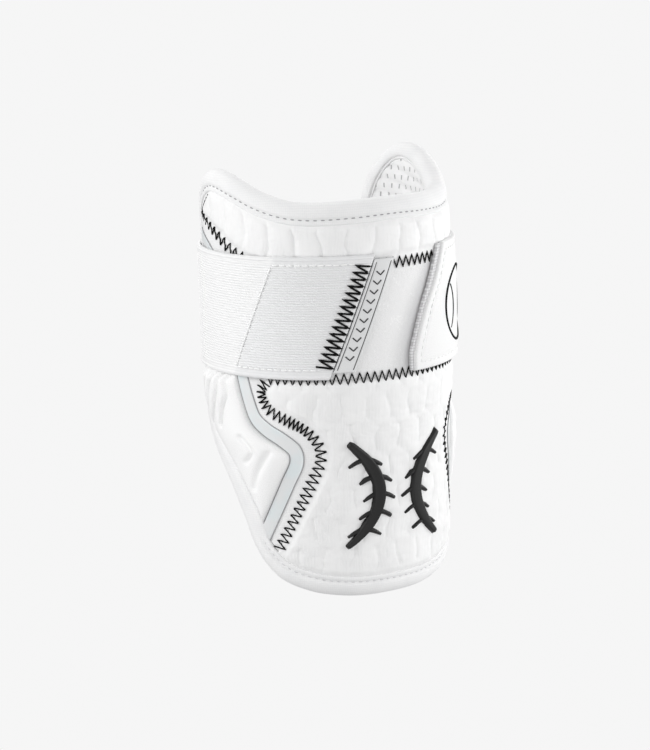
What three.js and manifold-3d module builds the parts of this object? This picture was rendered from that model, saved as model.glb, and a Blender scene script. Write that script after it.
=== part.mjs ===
// Baseball elbow guard in its worn form: a padded shell bent round the elbow, with an opening up the back,
// held by one wide elastic strap that ends in a hook tab. Sizes are in millimetres. +Z runs up the arm, -Y is
// the front of the shell and +X its right side. The origin is on the arm's axis, at the middle of the strap.
//
// Each piece is drawn first as a flat pattern, as a tailor cuts it: a pattern point is a Vector2 whose x runs
// round the body from the front centre line and whose y is the height. layer() then bends it round the body.
import * as THREE from "three";
import { mergeVertices } from "three/addons/utils/BufferGeometryUtils.js";
import Module from "manifold-3d";

const wasm = await Module();
wasm.setup();

// Body: the outer face of the foam pad
const BODY_HALF_WIDTH = 54;
const BODY_HALF_DEPTH = 51.5;
const BOW = 4; // how far the two ends of the shell lean back
const BOW_CENTRE = -15;
const HALF_GIRTH = 120.5; // round the body, from the front centre line to a side edge
const TOP_RISE = 64; // from the strap's middle up to the two top corners
const BOTTOM_DROP = 126.2; // and down to the lower edge

// Layers, from the arm outwards
const GAP = 0.3;
const LINER_THICK = 3;
const PAD_THICK = 4;
const PANEL_THICK = 1.3;
const LOOP_THICK = 1;
const TRIM_THICK = 0.7;
const WING_THICK = 1.1;
const WING_SWELL = 3; // how much thicker the wing is away from the strap
const RIB_HEIGHT = 1.2; // how far the wing's ribs stand above it
const STRAP_THICK = 1.6;
const HOOK_THICK = 0.9;
const TAB_THICK = 1.4;
const LABEL_PROUD = 0.4; // above the strap

// Edge binding
const BINDING_WIDTH = 9;
const BINDING_PROUD = 1.5; // above the pad's outer face
const BINDING_INSIDE = 0.9; // beyond the liner, towards the arm
const BINDING_ROLL_SHARE = 0.6; // the most of its width that the round rim takes

// Strap, tab and label
const STRAP_WIDTH = 51;
const STRAP_END_LEAN = 21; // degrees from upright
const STRAP_OVERLAP = 12; // of the strap on the tab's back end
const STRAP_STEP_LENGTH = 14; // in which the strap comes down from the tab to the body
const STRAP_SINK = 8; // how far it sinks to the arm across the open back
const TAB_WIDTH = 53.5;
const TAB_START = 7.4; // round the body to the tab's front edge, at its bottom
const TAB_LEAN = 21; // how much further round the top of that edge is
const TAB_BACK = 86; // round the body to the tab's back end
const HOOK_WIDTH = 48;
const HOOK_REVEAL = 1.5; // how far the hook patch shows in front of the tab
const HOOK_LENGTH = 44;
const LABEL_WIDTH = 8.8;
const LABEL_LENGTH = 48;
const LABEL_CENTRE = -15; // round the body, at the strap's middle

// Panels and trim
const UPPER_SEAM = 4; // below the strap's top edge
const LOWER_SEAM = 2; // below the strap's bottom edge
const TRIM_WIDTH = 6;
const WING_CLEARANCE = 3; // the wing is thin under the strap and this far beyond it
const WING_SLOPE = 5; // the length in which it swells

// Raised emblem: two curved seams, with stitches across each
const EMBLEM_HEIGHT = 47;
const EMBLEM_CENTRE = -79;
const EMBLEM_WAIST = 9; // round the body, from the centre line to a seam at its middle
const EMBLEM_BEND = 14; // how much further out the seam's ends are
const SEAM_STROKE = 6.4;
const EMBLEM_THICK = 1.8;
const BEVEL = 0.8;
const STITCHES = 5;
const STITCH_LENGTH = 15;
const STITCH_STROKE = 2.8;
const STITCH_SHARE = 0.6; // of the emblem's thickness
const STITCH_DROP = 3.2; // of a stitch's outer end below its inner end

// Heights of the layers above the pad's outer face
const LINER_OUT = -PAD_THICK - GAP;
const LINER_IN = LINER_OUT - LINER_THICK;
const PANEL_OUT = GAP + PANEL_THICK;
const STRAP_IN = Math.max(PANEL_OUT, BINDING_PROUD) + GAP;
const STRAP_OUT = STRAP_IN + STRAP_THICK;
const HOOK_IN = Math.max(PANEL_OUT, GAP + LOOP_THICK) + GAP;
const TAB_IN = HOOK_IN + HOOK_THICK + GAP;
const TAB_OUT = TAB_IN + TAB_THICK;

const BINDING_IN = LINER_IN - BINDING_INSIDE;
const INSET = BINDING_WIDTH + GAP; // from the outline to the pieces inside the binding
const MM_PER_DEGREE = THREE.MathUtils.degToRad((BODY_HALF_WIDTH + BODY_HALF_DEPTH) / 2);
const FULL_TURN = 360 * MM_PER_DEGREE;

// The right half of the shell's outline, from the top centre round to the bottom centre, in shares:
// round of HALF_GIRTH, and up of TOP_RISE where positive or of BOTTOM_DROP where negative
const OUTLINE = [
  { round: 0, up: 0.775 },
  { round: 0.16, up: 0.765 },
  { round: 0.31, up: 0.76 },
  { round: 0.4, up: 0.78 },
  { round: 0.49, up: 0.835 },
  { round: 0.575, up: 0.915 },
  { round: 0.66, up: 0.98 },
  { round: 0.735, up: 1 },
  { round: 0.81, up: 0.965 },
  { round: 0.88, up: 0.875 },
  { round: 0.94, up: 0.73 },
  { round: 0.983, up: 0.5 },
  { round: 1, up: 0.2 },
  { round: 0.99, up: -0.1 },
  { round: 0.965, up: -0.26 },
  { round: 0.9, up: -0.39 },
  { round: 0.8, up: -0.49 },
  { round: 0.7, up: -0.59 },
  { round: 0.615, up: -0.715 },
  { round: 0.545, up: -0.835 },
  { round: 0.45, up: -0.925 },
  { round: 0.32, up: -0.972 },
  { round: 0.17, up: -0.996 },
];
const SIDE_ROW = 12; // the row above at the side edge, where the outline's upper and lower halves meet

// The trim's centre line on the right side, from past the side edge down to past the lower edge, in the same
// shares
const TRIM = [
  { round: 1.02, up: 0.56 },
  { round: 0.91, up: 0.52 },
  { round: 0.8, up: 0.46 },
  { round: 0.73, up: 0.38 },
  { round: 0.67, up: 0.2 },
  { round: 0.625, up: -0.05 },
  { round: 0.59, up: -0.21 },
  { round: 0.56, up: -0.3 },
  { round: 0.53, up: -0.36 },
  { round: 0.485, up: -0.395 },
  { round: 0.42, up: -0.43 },
  { round: 0.375, up: -0.465 },
  { round: 0.368, up: -0.505 },
  { round: 0.4, up: -0.58 },
  { round: 0.455, up: -0.68 },
  { round: 0.53, up: -0.815 },
];

// The lower panel's right border, from the lower seam down to past the lower edge:
// round of HALF_GIRTH, and down of the height from the lower seam to the lower edge
const LOWER_BORDER = [
  { round: 0.475, down: 0 },
  { round: 0.503, down: 0.055 },
  { round: 0.475, down: 0.135 },
  { round: 0.405, down: 0.18 },
  { round: 0.335, down: 0.225 },
  { round: 0.288, down: 0.295 },
  { round: 0.282, down: 0.36 },
  { round: 0.32, down: 0.44 },
  { round: 0.385, down: 0.585 },
  { round: 0.46, down: 0.745 },
  { round: 0.5, down: 0.84 },
];

// The upper panel's right border, from the upper seam out to its corner and back to the upper edge:
// round of HALF_GIRTH, and up of the height from the upper seam to the top corners
const UPPER_BORDER = [
  { round: 0.475, up: 0 },
  { round: 0.56, up: 0.11 },
  { round: 0.65, up: 0.24 },
  { round: 0.75, up: 0.365 },
  { round: 0.845, up: 0.465 },
];
const UPPER_CORNER_TOP = 0.75; // of HALF_GIRTH, where the border meets the upper edge

// The tab's front edge, from its bottom up: lean of TAB_LEAN, and up of half the tab's width
const TAB_FRONT = [
  { lean: 0, up: -1 },
  { lean: 0, up: -0.72 },
  { lean: 0.13, up: -0.37 },
  { lean: 0.35, up: 0.05 },
  { lean: 0.66, up: 0.46 },
  { lean: 1, up: 1 },
];

const flat = (x, y) => new THREE.Vector2(x, y);
const mirrored = (points) => points.map((p) => flat(-p.x, p.y));
const heightOf = (share) => share * (share > 0 ? TOP_RISE : BOTTOM_DROP);
const leanShift = (height) => height * Math.tan(THREE.MathUtils.degToRad(STRAP_END_LEAN));
const lowerSeamHeight = -STRAP_WIDTH / 2 - LOWER_SEAM;
const upperSeamHeight = STRAP_WIDTH / 2 - UPPER_SEAM;

// A pattern point bent round the body, lift above the pad's outer face
function onBody(point, lift) {
  const turn = THREE.MathUtils.degToRad(point.x / MM_PER_DEGREE);
  const bowReach = (TOP_RISE + BOTTOM_DROP) / 2;
  const bow = BOW * ((point.y - BOW_CENTRE) / bowReach) ** 2;
  const outward = flat(Math.sin(turn) / BODY_HALF_WIDTH, -Math.cos(turn) / BODY_HALF_DEPTH).normalize();
  return new THREE.Vector3(
    BODY_HALF_WIDTH * Math.sin(turn) + outward.x * lift,
    -BODY_HALF_DEPTH * Math.cos(turn) + bow + outward.y * lift,
    point.y,
  );
}

// A smooth line through pattern points, as count + 1 points at even steps
function smoothLine(points, count) {
  const curve = new THREE.CatmullRomCurve3(points.map((p) => new THREE.Vector3(p.x, p.y, 0)));
  return curve.getSpacedPoints(count).map((p) => flat(p.x, p.y));
}

// A line through pattern points with its corners kept, as count + 1 points at even steps
function evenLine(points, count) {
  const path = new THREE.CurvePath();
  for (let i = 1; i < points.length; i++) path.add(new THREE.LineCurve(points[i - 1], points[i]));
  return Array.from({ length: count + 1 }, (_, i) => path.getPointAt(i / count));
}

// A line moved sideways, to the left of its direction by side; a closed line joins its ends
function besideLine(points, side, closed = false) {
  const last = points.length - 1;
  return points.map((p, i) => {
    const before = points[i > 0 ? i - 1 : closed ? last : 0];
    const after = points[i < last ? i + 1 : closed ? 0 : last];
    const along = after.clone().sub(before).normalize();
    return flat(p.x - along.y * side, p.y + along.x * side);
  });
}

// A grid of pattern points between four border lines: rows run from left to right, the first along the bottom
function between(bottom, top, left, right) {
  const across = bottom.length - 1;
  const up = left.length - 1;
  const mix = (a, b, share) => a.clone().lerp(b, share);
  return left.map((l, j) =>
    bottom.map((b, i) => {
      const u = i / across;
      const v = j / up;
      const corners = mix(mix(bottom[0], bottom[across], u), mix(top[0], top[across], u), v);
      return mix(b, top[i], v).add(mix(l, right[j], u)).sub(corners);
    }),
  );
}

// A grid between two lines with as many points each
const ruled = (bottom, top, rows) =>
  between(bottom, top, evenLine([bottom[0], top[0]], rows), evenLine([bottom.at(-1), top.at(-1)], rows));

// A geometry from points and four-cornered faces. Each face is split along its diagonal that turns less round
// the body, which keeps the facets close to the bend
function geometryOf(points, faces) {
  const reach = (a, b) => Math.hypot(points[a].x - points[b].x, points[a].y - points[b].y);
  const split = ([a, b, c, d]) => (reach(a, c) <= reach(b, d) ? [a, b, c, a, c, d] : [b, c, d, b, d, a]);
  const positions = points.flatMap((p) => p.toArray());
  const geometry = new THREE.BufferGeometry();
  geometry.setAttribute("position", new THREE.Float32BufferAttribute(positions, 3));
  geometry.setIndex(faces.flatMap(split));
  return geometry;
}

// A closed solid from two grids with as many points each: its inner face and its outer face
function solidOf(inner, outer) {
  const rows = inner.length;
  const columns = inner[0].length;
  const at = (face, j, i) => (face * rows + j) * columns + i;
  const faces = [];
  const quad = (...corners) => faces.push(corners);
  for (let j = 0; j < rows - 1; j++) {
    for (let i = 0; i < columns - 1; i++) {
      quad(at(1, j, i), at(1, j, i + 1), at(1, j + 1, i + 1), at(1, j + 1, i));
      quad(at(0, j, i), at(0, j + 1, i), at(0, j + 1, i + 1), at(0, j, i + 1));
    }
  }
  for (let i = 0; i < columns - 1; i++) {
    quad(at(0, 0, i), at(0, 0, i + 1), at(1, 0, i + 1), at(1, 0, i));
    quad(at(1, rows - 1, i), at(1, rows - 1, i + 1), at(0, rows - 1, i + 1), at(0, rows - 1, i));
  }
  for (let j = 0; j < rows - 1; j++) {
    quad(at(1, j, 0), at(1, j + 1, 0), at(0, j + 1, 0), at(0, j, 0));
    quad(at(0, j, columns - 1), at(0, j + 1, columns - 1), at(1, j + 1, columns - 1), at(1, j, columns - 1));
  }
  return geometryOf([...inner.flat(), ...outer.flat()], faces);
}

// A layer of the guard: a pattern grid bent round the body between two lifts, where each lift is a number or a
// function of the shares across and up the grid
function layer(grid, liftIn, liftOut, outerGrid = grid) {
  const rows = grid.length - 1;
  const columns = grid[0].length - 1;
  const bend = (pattern, lift) =>
    pattern.map((row, j) =>
      row.map((p, i) => onBody(p, typeof lift === "function" ? lift(i / columns, j / rows, p) : lift)),
    );
  return solidOf(bend(grid, liftIn), bend(outerGrid, liftOut));
}

// Several overlapping solids joined into one
function fused(geometries) {
  const solids = geometries.map((geometry) => {
    const merged = mergeVertices(geometry);
    return new wasm.Manifold(
      new wasm.Mesh({
        numProp: 3,
        vertProperties: merged.attributes.position.array,
        triVerts: new Uint32Array(merged.index.array),
      }),
    );
  });
  const mesh = solids.reduce((a, b) => a.add(b)).getMesh();
  const geometry = new THREE.BufferGeometry();
  geometry.setAttribute("position", new THREE.BufferAttribute(mesh.vertProperties, 3));
  geometry.setIndex(new THREE.BufferAttribute(mesh.triVerts, 1));
  return geometry;
}

// The shell's outline: each half is one smooth line from the left side edge to the right one
const OUTLINE_STEPS = 44;
const FINE = 300; // steps of a line before it is cut or evened out
const outlineRight = OUTLINE.map((row) => flat(row.round * HALF_GIRTH, heightOf(row.up)));
outlineRight.push(flat(0, -BOTTOM_DROP));
const outlineLeft = mirrored(outlineRight.slice(1, -1)).reverse();
const wholeOutline = [...outlineRight, ...outlineLeft].map((p) => new THREE.Vector3(p.x, p.y, 0));
const outlineCurve = new THREE.CatmullRomCurve3(wholeOutline, true);

// Points of the outline's curve between two of its table rows, at even steps
function outlineStretch(fromRow, toRow, steps) {
  const fine = Array.from({ length: FINE + 1 }, (_, i) => {
    const share = (fromRow + ((toRow - fromRow) * i) / FINE) / wholeOutline.length;
    const p = outlineCurve.getPoint(share - Math.floor(share));
    return flat(p.x, p.y);
  });
  return evenLine(fine, steps);
}
const upperHalf = outlineStretch(-SIDE_ROW, SIDE_ROW, OUTLINE_STEPS);
const lowerHalf = outlineStretch(SIDE_ROW, wholeOutline.length - SIDE_ROW, OUTLINE_STEPS);
const outline = [...upperHalf, ...lowerHalf.slice(1, -1)]; // clockwise on the pattern, from the left side edge
const inset = besideLine(outline, -INSET, true);
const insetUpper = inset.slice(0, OUTLINE_STEPS + 1);
const insetLower = [inset[0], ...inset.slice(OUTLINE_STEPS).reverse()]; // from left to right

// Whether a pattern point is inside the binding
function isInside(point) {
  let inside = false;
  for (let i = 0, j = inset.length - 1; i < inset.length; j = i++) {
    const a = inset[i];
    const b = inset[j];
    const crosses = a.y > point.y !== b.y > point.y;
    if (crosses && point.x < ((b.x - a.x) * (point.y - a.y)) / (b.y - a.y) + a.x) inside = !inside;
  }
  return inside;
}

// The stretch of a line that lies inside the binding, at even steps
const insideOnly = (points, steps) => evenLine(evenLine(points, FINE).filter(isInside), steps);

// The pad and the liner fill the outline inside the binding, and share its points, so that no facet crosses it
const shellGrid = ruled(insetLower.slice(1, -1), insetUpper.slice(1, -1), 6);

// The lower panel's right border, and the panel between it, its mirror image, the seam and the binding
const lowerBorder = LOWER_BORDER.map((row) => {
  const drop = row.down * (BOTTOM_DROP + lowerSeamHeight);
  return flat(row.round * HALF_GIRTH, lowerSeamHeight - drop);
});
function lowerPanel() {
  const rows = 16;
  const border = insideOnly(smoothLine(lowerBorder, FINE), rows).reverse();
  const bottom = insetLower.filter((p) => Math.abs(p.x) < border[0].x && p.y < border[rows >> 1].y);
  const right = [bottom.at(-1), ...border.slice(1)];
  const left = mirrored(right);
  const top = evenLine([left.at(-1), right.at(-1)], bottom.length - 1);
  return layer(between(bottom, top, left, right), GAP, PANEL_OUT);
}

// The upper panel, between the upper edge's binding and its own border
const upperBorder = UPPER_BORDER.map((row) => {
  const rise = row.up * (TOP_RISE - upperSeamHeight);
  return flat(row.round * HALF_GIRTH, upperSeamHeight + rise);
});
function upperPanel() {
  const rows = 3;
  const top = insetUpper.filter((p) => Math.abs(p.x) < UPPER_CORNER_TOP * HALF_GIRTH && p.y > 0);
  const rightHalf = smoothLine(upperBorder, FINE);
  const bottom = evenLine([...mirrored(rightHalf).reverse(), ...rightHalf], top.length - 1);
  return layer(ruled(bottom, top, rows), GAP, PANEL_OUT);
}

// The loop panel that the tab fastens to, between the two seams
function loopPanel() {
  const halfWidth = Math.min(upperBorder[0].x, lowerBorder[0].x);
  const line = (height) => evenLine([flat(-halfWidth, height), flat(halfWidth, height)], 20);
  return layer(ruled(line(lowerSeamHeight + GAP), line(upperSeamHeight - GAP), 3), GAP, GAP + LOOP_THICK);
}

const trimCentre = smoothLine(
  TRIM.map((row) => flat(row.round * HALF_GIRTH, heightOf(row.up))),
  FINE,
);
const TRIM_STEPS = 34;
const trimOuterSide = insideOnly(besideLine(trimCentre, TRIM_WIDTH / 2), TRIM_STEPS);
const trimInnerSide = insideOnly(besideLine(trimCentre, -TRIM_WIDTH / 2), TRIM_STEPS);
const trimGrid = ruled(trimOuterSide, trimInnerSide, 1).reverse();

// The ribbed wing between the trim and the side edge. Its ribs run beside the trim and die out near the strap
function rightWing() {
  const rows = 6;
  const trimSide = besideLine(trimOuterSide, GAP).slice(1, -1);
  const nearest = (point) =>
    inset.reduce((best, p, i) => (p.distanceTo(point) < inset[best].distanceTo(point) ? i : best), 0);
  const edge = inset.slice(nearest(trimSide[0]) + 1, nearest(trimSide.at(-1)));
  return ruled(evenLine(edge, trimSide.length - 1), trimSide, rows).reverse();
}
function wingLift(alongShare, acrossShare, point) {
  const beyondStrap = Math.abs(point.y) - STRAP_WIDTH / 2 - WING_CLEARANCE;
  const swell = THREE.MathUtils.smoothstep(beyondStrap, 0, WING_SLOPE);
  const ends = Math.sin(Math.PI * alongShare) ** 0.5;
  const rim = Math.sin(Math.PI * acrossShare) ** 0.5;
  const ribs = Math.sin(Math.PI * 2 * acrossShare) ** 2;
  return GAP + WING_THICK + swell * ends * (WING_SWELL * rim + RIB_HEIGHT * ribs);
}

// The binding: a padded roll along the whole outline, round at the rim and flat where it meets the panels
function binding() {
  const halfThick = (BINDING_PROUD - BINDING_IN) / 2;
  const middle = (BINDING_PROUD + BINDING_IN) / 2;
  const roll = Math.min(halfThick, BINDING_WIDTH * BINDING_ROLL_SHARE);
  const arcSteps = 7;
  const section = [{ across: BINDING_WIDTH, lift: BINDING_PROUD }];
  for (let i = 0; i <= arcSteps; i++) {
    const a = (Math.PI * i) / arcSteps;
    section.push({ across: roll * (1 - Math.sin(a)), lift: middle + halfThick * Math.cos(a) });
  }
  section.push({ across: BINDING_WIDTH, lift: BINDING_IN }, { across: BINDING_WIDTH, lift: middle });
  const rings = section.map((s) => besideLine(outline, -s.across, true).map((p) => onBody(p, s.lift)));
  const around = outline.length;
  const faces = [];
  for (let k = 0; k < section.length; k++) {
    const next = (k + 1) % section.length;
    for (let i = 0; i < around; i++) {
      const j = (i + 1) % around;
      faces.push([k * around + i, k * around + j, next * around + j, next * around + i]);
    }
  }
  return geometryOf(rings.flat(), faces);
}

// A band round the body between two upright border lines
function bandGrid(fromLine, toLine, steps) {
  const bottom = evenLine([fromLine[0], toLine[0]], steps);
  const top = evenLine([fromLine.at(-1), toLine.at(-1)], steps);
  return between(bottom, top, fromLine, toLine);
}
const upright = (x, width, rows) => evenLine([flat(x, -width / 2), flat(x, width / 2)], rows);
const leaning = (x, width, rows) =>
  evenLine([flat(x - leanShift(width / 2), -width / 2), flat(x + leanShift(width / 2), width / 2)], rows);

// The elastic strap: sewn down at the front beside the label, it runs round the left side and the back of the
// arm to the tab, whose back end it overlaps
const strapBack = TAB_BACK - STRAP_OVERLAP;
const strapFront = LABEL_CENTRE - LABEL_WIDTH / 2 - GAP;
const strapRaise = TAB_OUT + GAP - STRAP_IN;
function strapLift(point) {
  const pastTab = point.x - (TAB_BACK + GAP);
  const raised = strapRaise * (1 - THREE.MathUtils.smoothstep(pastTab, 0, STRAP_STEP_LENGTH));
  const halfOpening = FULL_TURN / 2 - HALF_GIRTH - GAP;
  const pastShell = halfOpening - Math.abs(point.x - FULL_TURN / 2);
  const sunk = STRAP_SINK * THREE.MathUtils.smoothstep(pastShell, 0, halfOpening);
  return STRAP_IN + raised - sunk;
}
function strap() {
  const rows = 3;
  const steps = 54;
  const back = upright(strapBack, STRAP_WIDTH, rows);
  const front = leaning(FULL_TURN + strapFront, STRAP_WIDTH, rows);
  const liftIn = (u, v, point) => strapLift(point);
  const liftOut = (u, v, point) => strapLift(point) + STRAP_THICK;
  return layer(bandGrid(back, front, steps), liftIn, liftOut);
}

// The tab and the hook patch under its front
const tabFront = (shift, width, rows) =>
  smoothLine(
    TAB_FRONT.map((row) => flat(TAB_START + row.lean * TAB_LEAN + shift, (row.up * width) / 2)),
    rows,
  );
const TAB_ROWS = 8;
function tab() {
  const front = tabFront(0, TAB_WIDTH, TAB_ROWS);
  const back = upright(TAB_BACK, TAB_WIDTH, TAB_ROWS);
  return layer(bandGrid(front, back, 16), TAB_IN, TAB_OUT);
}
function hookPatch() {
  const front = tabFront(-HOOK_REVEAL, HOOK_WIDTH, TAB_ROWS);
  const back = upright(front[0].x + HOOK_LENGTH, HOOK_WIDTH, TAB_ROWS);
  return layer(bandGrid(front, back, 9), HOOK_IN, HOOK_IN + HOOK_THICK);
}

// The label: a slanted bar whose top is smaller all round by the bevel
function label() {
  const bar = (less) => {
    const side = (x) => leaning(LABEL_CENTRE + x, LABEL_LENGTH - 2 * less, 6);
    return bandGrid(side(less - LABEL_WIDTH / 2), side(LABEL_WIDTH / 2 - less), 2);
  };
  return layer(bar(0), HOOK_IN, STRAP_OUT + LABEL_PROUD, bar(BEVEL));
}

// A right-hand pattern grid turned into the left-hand one, with its columns still running from left to right
const mirroredGrid = (grid) => grid.map((row) => mirrored(row).reverse());
const asDrawn = (grid) => grid;

// One curved seam of the emblem, drawn right of the centre line, tapered towards its ends and crossed by its
// stitches. Each stroke's grid is a function of how much smaller than its foot it is, for its bevelled top
const emblemBase = PANEL_OUT + GAP;
const seamPoint = (share) => {
  const height = EMBLEM_CENTRE + (share - 0.5) * EMBLEM_HEIGHT;
  return flat(EMBLEM_WAIST + EMBLEM_BEND * (2 * share - 1) ** 2, height);
};
function seamGrid(less) {
  const steps = 16;
  const edge = (side) =>
    Array.from({ length: steps + 1 }, (_, i) => {
      const half = (SEAM_STROKE / 2) * (0.4 + 0.6 * Math.sin((Math.PI * i) / steps) ** 0.6);
      const point = seamPoint(i / steps);
      return flat(point.x + side * Math.max(half - less, GAP), point.y);
    });
  return ruled(edge(1), edge(-1), 2);
}
function stitchGrid(middle, less) {
  const reach = STITCH_LENGTH / 2 - less;
  const line = (height) => [
    flat(middle.x - reach, height - STITCH_DROP),
    flat(middle.x, height),
    flat(middle.x + reach, height - STITCH_DROP),
  ];
  const half = STITCH_STROKE / 2 - less;
  return ruled(line(middle.y - half), line(middle.y + half), 1);
}
function emblemSeam(place) {
  const raised = (grid, bevel, thick) =>
    layer(place(grid(0)), emblemBase, emblemBase + thick, place(grid(bevel)));
  const strokes = [raised(seamGrid, BEVEL, EMBLEM_THICK)];
  for (let k = 1; k <= STITCHES; k++) {
    const middle = seamPoint(k / (STITCHES + 1));
    const grid = (less) => stitchGrid(middle, less);
    strokes.push(raised(grid, BEVEL / 2, EMBLEM_THICK * STITCH_SHARE));
  }
  return fused(strokes);
}

const colours = {
  foam: new THREE.MeshStandardMaterial({ color: 0xf4f4f4, roughness: 0.85 }),
  lining: new THREE.MeshStandardMaterial({ color: 0xececec, roughness: 0.9 }),
  cloth: new THREE.MeshStandardMaterial({ color: 0xf0f0f0, roughness: 0.7 }),
  elastic: new THREE.MeshStandardMaterial({ color: 0xe9e9e9, roughness: 0.8 }),
  silver: new THREE.MeshStandardMaterial({ color: 0xc9cdce, roughness: 0.35, metalness: 0.3 }),
  hooks: new THREE.MeshStandardMaterial({ color: 0xdcdcdc, roughness: 0.9 }),
  rubber: new THREE.MeshStandardMaterial({ color: 0x1a1a1a, roughness: 0.5 }),
};

const guard = new THREE.Group();
function add(name, geometry, material) {
  const mesh = new THREE.Mesh(geometry, material);
  mesh.name = name;
  guard.add(mesh);
}
const wingGrid = rightWing();
add("foam_pad", layer(shellGrid, -PAD_THICK, 0), colours.foam);
add("liner", layer(shellGrid, LINER_IN, LINER_OUT), colours.lining);
add("edge_binding", binding(), colours.foam);
add("upper_panel", upperPanel(), colours.cloth);
add("loop_panel", loopPanel(), colours.cloth);
add("lower_panel", lowerPanel(), colours.cloth);
for (const [side, place] of Object.entries({ right: asDrawn, left: mirroredGrid })) {
  add("trim_" + side, layer(place(trimGrid), GAP, GAP + TRIM_THICK), colours.silver);
  add("wing_" + side, layer(place(wingGrid), GAP, wingLift), colours.foam);
  add("emblem_seam_" + side, emblemSeam(place), colours.rubber);
}
add("strap", strap(), colours.elastic);
add("strap_tab", tab(), colours.cloth);
add("hook_patch", hookPatch(), colours.hooks);
add("strap_label", label(), colours.silver);

export default guard;
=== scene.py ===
import math

import bpy
import numpy as np
from mathutils import Matrix, Vector


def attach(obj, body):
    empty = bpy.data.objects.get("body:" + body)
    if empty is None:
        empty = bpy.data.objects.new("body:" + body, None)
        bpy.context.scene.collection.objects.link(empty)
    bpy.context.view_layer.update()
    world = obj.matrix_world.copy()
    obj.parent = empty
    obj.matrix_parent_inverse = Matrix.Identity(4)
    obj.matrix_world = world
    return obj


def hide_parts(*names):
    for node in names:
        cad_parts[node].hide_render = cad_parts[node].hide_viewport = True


# Baseball elbow guard. Every soft piece is drawn as a flat pattern in millimetres, x round the body from
# the front centre line and y the height, and then bent round the body at a lift above the foam pad's face.
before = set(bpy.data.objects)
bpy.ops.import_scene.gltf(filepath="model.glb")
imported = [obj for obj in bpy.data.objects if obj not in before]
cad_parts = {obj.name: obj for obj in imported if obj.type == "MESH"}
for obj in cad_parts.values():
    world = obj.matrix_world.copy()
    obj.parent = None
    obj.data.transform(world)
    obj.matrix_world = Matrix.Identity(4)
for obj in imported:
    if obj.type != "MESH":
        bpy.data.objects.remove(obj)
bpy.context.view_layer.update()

# Body and layers, in millimetres
HALF_WIDTH = 54
HALF_DEPTH = 51.5
BOW = 4
BOW_CENTRE = -15
HALF_GIRTH = 120.5
TOP_RISE = 64
BOTTOM_DROP = 126.2
MM_PER_DEGREE = math.radians((HALF_WIDTH + HALF_DEPTH) / 2)
FULL_TURN = 360 * MM_PER_DEGREE
GAP = 0.3
STRAP_IN = 1.9
TAB_OUT = 4.5
LINER_OUT = -4.3
LINER_IN = -7.3
BINDING_IN = -8.2
BINDING_OUT = 1.5
BINDING_WIDTH = 9
STITCH_INSET = 7.15
LINING_INSET = 7.3
WING_INSET = 11.1
INSET = BINDING_WIDTH + GAP
TRIM_HALF = 3
STRAP_WIDTH = 51
STRAP_HALF = STRAP_WIDTH / 2 + 0.6
STRAP_FLARE = 1.1
LOWER_SEAM = -27.5
UPPER_SEAM = 21.5
LOOP_HALF = 0.475 * HALF_GIRTH
TAB_FRONT_X = 7.4
TAB_LEAN = 21
TAB_BACK = 86
TAB_WIDTH = 53.5
TAB_LIFT = 3.1
TAB_STITCH_LIFT = 4.15
TAB_PRINT_LIFT = 4.35
HOOK_WIDTH = 52.4
HOOK_LENGTH = 44
LABEL_X = -15
LABEL_HALF_WIDTH = 4.4
LABEL_HALF_LENGTH = 24
LABEL_LEAN = math.tan(math.radians(21))
CORNER_DROP = 3
STRAP_BACK = TAB_BACK - 12
STRAP_FRONT = FULL_TURN + LABEL_X - LABEL_HALF_WIDTH - GAP

# The right half of the shell's outline from the top centre to the bottom centre: shares of HALF_GIRTH,
# and of TOP_RISE where positive or BOTTOM_DROP where negative
OUTLINE = [
    (0, 0.775), (0.16, 0.765), (0.31, 0.76), (0.4, 0.78), (0.49, 0.835), (0.575, 0.915), (0.66, 0.98),
    (0.735, 1), (0.81, 0.965), (0.88, 0.875), (0.94, 0.73), (0.983, 0.5), (1, 0.2), (0.99, -0.1),
    (0.965, -0.26), (0.9, -0.39), (0.8, -0.49), (0.692, -0.59), (0.602, -0.715), (0.534, -0.835),
    (0.44, -0.925), (0.32, -0.972), (0.17, -0.996),
]
# The trim's centre line on the right, in the same shares
TRIM = [
    (1.02, 0.515), (0.915, 0.475), (0.81, 0.415), (0.742, 0.335), (0.68, 0.19), (0.625, -0.05),
    (0.59, -0.21), (0.56, -0.3), (0.53, -0.36), (0.485, -0.395), (0.42, -0.43), (0.375, -0.465),
    (0.368, -0.505), (0.4, -0.58), (0.445, -0.68), (0.508, -0.815),
]
# The panels' right borders: share of HALF_GIRTH, and share down from the lower seam or up from the upper
LOWER_BORDER = [
    (0.475, 0), (0.503, 0.055), (0.475, 0.135), (0.405, 0.18), (0.335, 0.225), (0.288, 0.295),
    (0.282, 0.36), (0.307, 0.44), (0.36, 0.585), (0.422, 0.745), (0.462, 0.84),
]
UPPER_BORDER = [(0.5, 0), (0.603, 0.11), (0.68, 0.24), (0.77, 0.365), (0.855, 0.465)]
UPPER_CORNER_TOP = 0.75
# The tab's front edge from its bottom up: share of its lean, and height in half widths
TAB_FRONT = [(0, -1), (0, -0.72), (0.13, -0.37), (0.35, 0.05), (0.66, 0.46), (1, 1)]


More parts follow.
